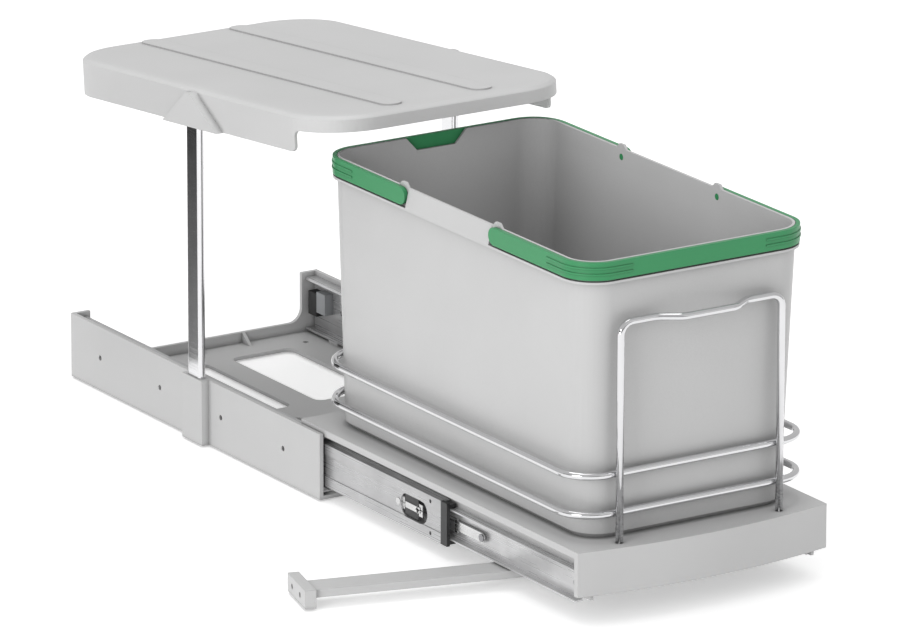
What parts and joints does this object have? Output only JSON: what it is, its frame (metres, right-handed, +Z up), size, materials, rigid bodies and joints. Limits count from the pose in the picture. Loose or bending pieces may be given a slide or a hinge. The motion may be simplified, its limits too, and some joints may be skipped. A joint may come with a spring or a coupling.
{
  "type": "pull-out trash cabinet",
  "caption": "Pull-out waste bin unit for a kitchen cabinet: frame, ball-bearing slides, wire-guarded tray, lift-out bin, tipping lid and door arm.",
  "frame": {"origin": "middle of the base frame's rear edge, at the level of its underside on the cabinet floor", "axes": "+Z up, -Y out of the cabinet the way the tray pulls out, +X to the right seen from the front"},
  "size_m": [0.3967, 0.7758, 0.3122],
  "materials": {
    "frame_plastic": "light grey moulded plastic with a fine satin grain",
    "tray_plastic": "light grey moulded plastic with a fine satin grain",
    "bin_plastic": "light grey moulded plastic, smooth satin",
    "lid_plastic": "light grey moulded plastic, smooth satin",
    "shoe_plastic": "grey moulded plastic",
    "arm_plastic": "light grey moulded plastic",
    "handle_plastic": "green moulded plastic with a soft sheen",
    "stop_plastic": "mid grey moulded plastic",
    "cap_plastic": "black moulded plastic",
    "buffer_rubber": "black rubber",
    "rail_steel": "bright zinc-plated steel sheet, lengthwise grain",
    "latch_steel": "bright zinc-plated steel",
    "cage_steel": "thin steel strip",
    "ball_steel": "polished steel balls",
    "screw_steel": "zinc-plated screws and rivets",
    "pin_steel": "plain steel pins",
    "wire_chrome": "bright chrome-plated wire",
    "post_chrome": "bright chrome-plated flat tube"
  },
  "bodies": {
    "frame": {"base_frame": "frame_plastic", "left_post": "post_chrome", "right_post": "post_chrome", "left_outer_rail": "rail_steel", "right_outer_rail": "rail_steel", "outer_rail_screws": "screw_steel", "left_rear_stop": "stop_plastic", "right_rear_stop": "stop_plastic", "left_rubber_buffer": "buffer_rubber", "right_rubber_buffer": "buffer_rubber"},
    "left_outer_cage": {"left_outer_ball_cage": "cage_steel", "left_outer_balls": "ball_steel"},
    "right_outer_cage": {"right_outer_ball_cage": "cage_steel", "right_outer_balls": "ball_steel"},
    "left_middle": {"left_middle_rail": "rail_steel", "left_rail_latch": "latch_steel", "left_rail_end_cap": "cap_plastic"},
    "right_middle": {"right_middle_rail": "rail_steel", "right_rail_latch": "latch_steel", "right_rail_end_cap": "cap_plastic"},
    "left_inner_cage": {"left_inner_ball_cage": "cage_steel", "left_inner_balls": "ball_steel"},
    "right_inner_cage": {"right_inner_ball_cage": "cage_steel", "right_inner_balls": "ball_steel"},
    "tray": {"tray": "tray_plastic", "left_inner_rail": "rail_steel", "right_inner_rail": "rail_steel", "tray_rail_screws": "screw_steel", "lever_rivets": "screw_steel", "upper_wire_hoop": "wire_chrome", "lower_wire_hoop": "wire_chrome", "front_wire_guard": "wire_chrome", "rear_wire_support": "wire_chrome", "swivel_screw": "screw_steel"},
    "left_lever": {"left_release_lever": "latch_steel"},
    "right_lever": {"right_release_lever": "latch_steel"},
    "bin": {"waste_bin": "bin_plastic"},
    "rear_handle": {"rear_bin_handle": "handle_plastic"},
    "front_handle": {"front_bin_handle": "handle_plastic"},
    "lid": {"lid": "lid_plastic", "lid_pivot_pins": "pin_steel"},
    "shoe": {"swivel_shoe": "shoe_plastic"},
    "arm": {"door_arm": "arm_plastic", "arm_stop_pin": "pin_steel"}
  },
  "joints": [
    {"name": "tray_slide", "type": "slide", "parent": "frame", "child": "tray", "axis": [0, 1, 0], "range_m": [0, 0.35]},
    {"name": "left_middle_slide", "type": "slide", "parent": "frame", "child": "left_middle", "axis": [0, 1, 0], "range_m": [0, 0.175]},
    {"name": "left_outer_cage_slide", "type": "slide", "parent": "frame", "child": "left_outer_cage", "axis": [0, 1, 0], "range_m": [0, 0.0875]},
    {"name": "left_inner_cage_slide", "type": "slide", "parent": "frame", "child": "left_inner_cage", "axis": [0, 1, 0], "range_m": [0, 0.2625]},
    {"name": "right_middle_slide", "type": "slide", "parent": "frame", "child": "right_middle", "axis": [0, 1, 0], "range_m": [0, 0.175]},
    {"name": "right_outer_cage_slide", "type": "slide", "parent": "frame", "child": "right_outer_cage", "axis": [0, 1, 0], "range_m": [0, 0.0875]},
    {"name": "right_inner_cage_slide", "type": "slide", "parent": "frame", "child": "right_inner_cage", "axis": [0, 1, 0], "range_m": [0, 0.2625]},
    {"name": "lid_tip", "type": "hinge", "parent": "frame", "child": "lid", "pos_m": [0, -0.2055, 0.273], "axis": [1, 0, 0], "range_deg": [0, 3.4]},
    {"name": "arm_swing", "type": "hinge", "parent": "tray", "child": "shoe", "pos_m": [-0.025, -0.663, 0.03], "axis": [0, 0, 1], "range_deg": [0, 105.1]},
    {"name": "arm_slide", "type": "slide", "parent": "shoe", "child": "arm", "axis": [0.9659, -0.2588, 0], "range_m": [0, 0.1351]},
    {"name": "bin_lift", "type": "slide", "parent": "tray", "child": "bin", "axis": [0, 0, -1], "range_m": [-0.007, 0]},
    {"name": "rear_handle_raise", "type": "hinge", "parent": "bin", "child": "rear_handle", "pos_m": [0, -0.4885, 0.2725], "axis": [-1, 0, 0], "range_deg": [-4, 0]},
    {"name": "front_handle_raise", "type": "hinge", "parent": "bin", "child": "front_handle", "pos_m": [0, -0.622, 0.2725], "axis": [1, 0, 0], "range_deg": [-90, 0]},
    {"name": "left_lever_press", "type": "hinge", "parent": "tray", "child": "left_lever", "pos_m": [-0.1066, -0.609, 0.0278], "axis": [1, 0, 0], "range_deg": [-6.8, 0]},
    {"name": "right_lever_press", "type": "hinge", "parent": "tray", "child": "right_lever", "pos_m": [0.1066, -0.609, 0.0278], "axis": [-1, 0, 0], "range_deg": [-6.8, 0]}
  ],
  "couplings": [
    {"joint": "left_middle_slide", "follows": "tray_slide", "ratio": 0.5},
    {"joint": "left_outer_cage_slide", "follows": "tray_slide", "ratio": 0.25},
    {"joint": "left_inner_cage_slide", "follows": "tray_slide", "ratio": 0.75},
    {"joint": "right_middle_slide", "follows": "tray_slide", "ratio": 0.5},
    {"joint": "right_outer_cage_slide", "follows": "tray_slide", "ratio": 0.25},
    {"joint": "right_inner_cage_slide", "follows": "tray_slide", "ratio": 0.75},
    {"joint": "lid_tip", "follows": "tray_slide", "rad_per_m": 0.167},
    {"joint": "arm_swing", "follows": "tray_slide", "rad_per_m": 5.236},
    {"joint": "arm_slide", "follows": "tray_slide", "ratio": 0.3857}
  ]
}
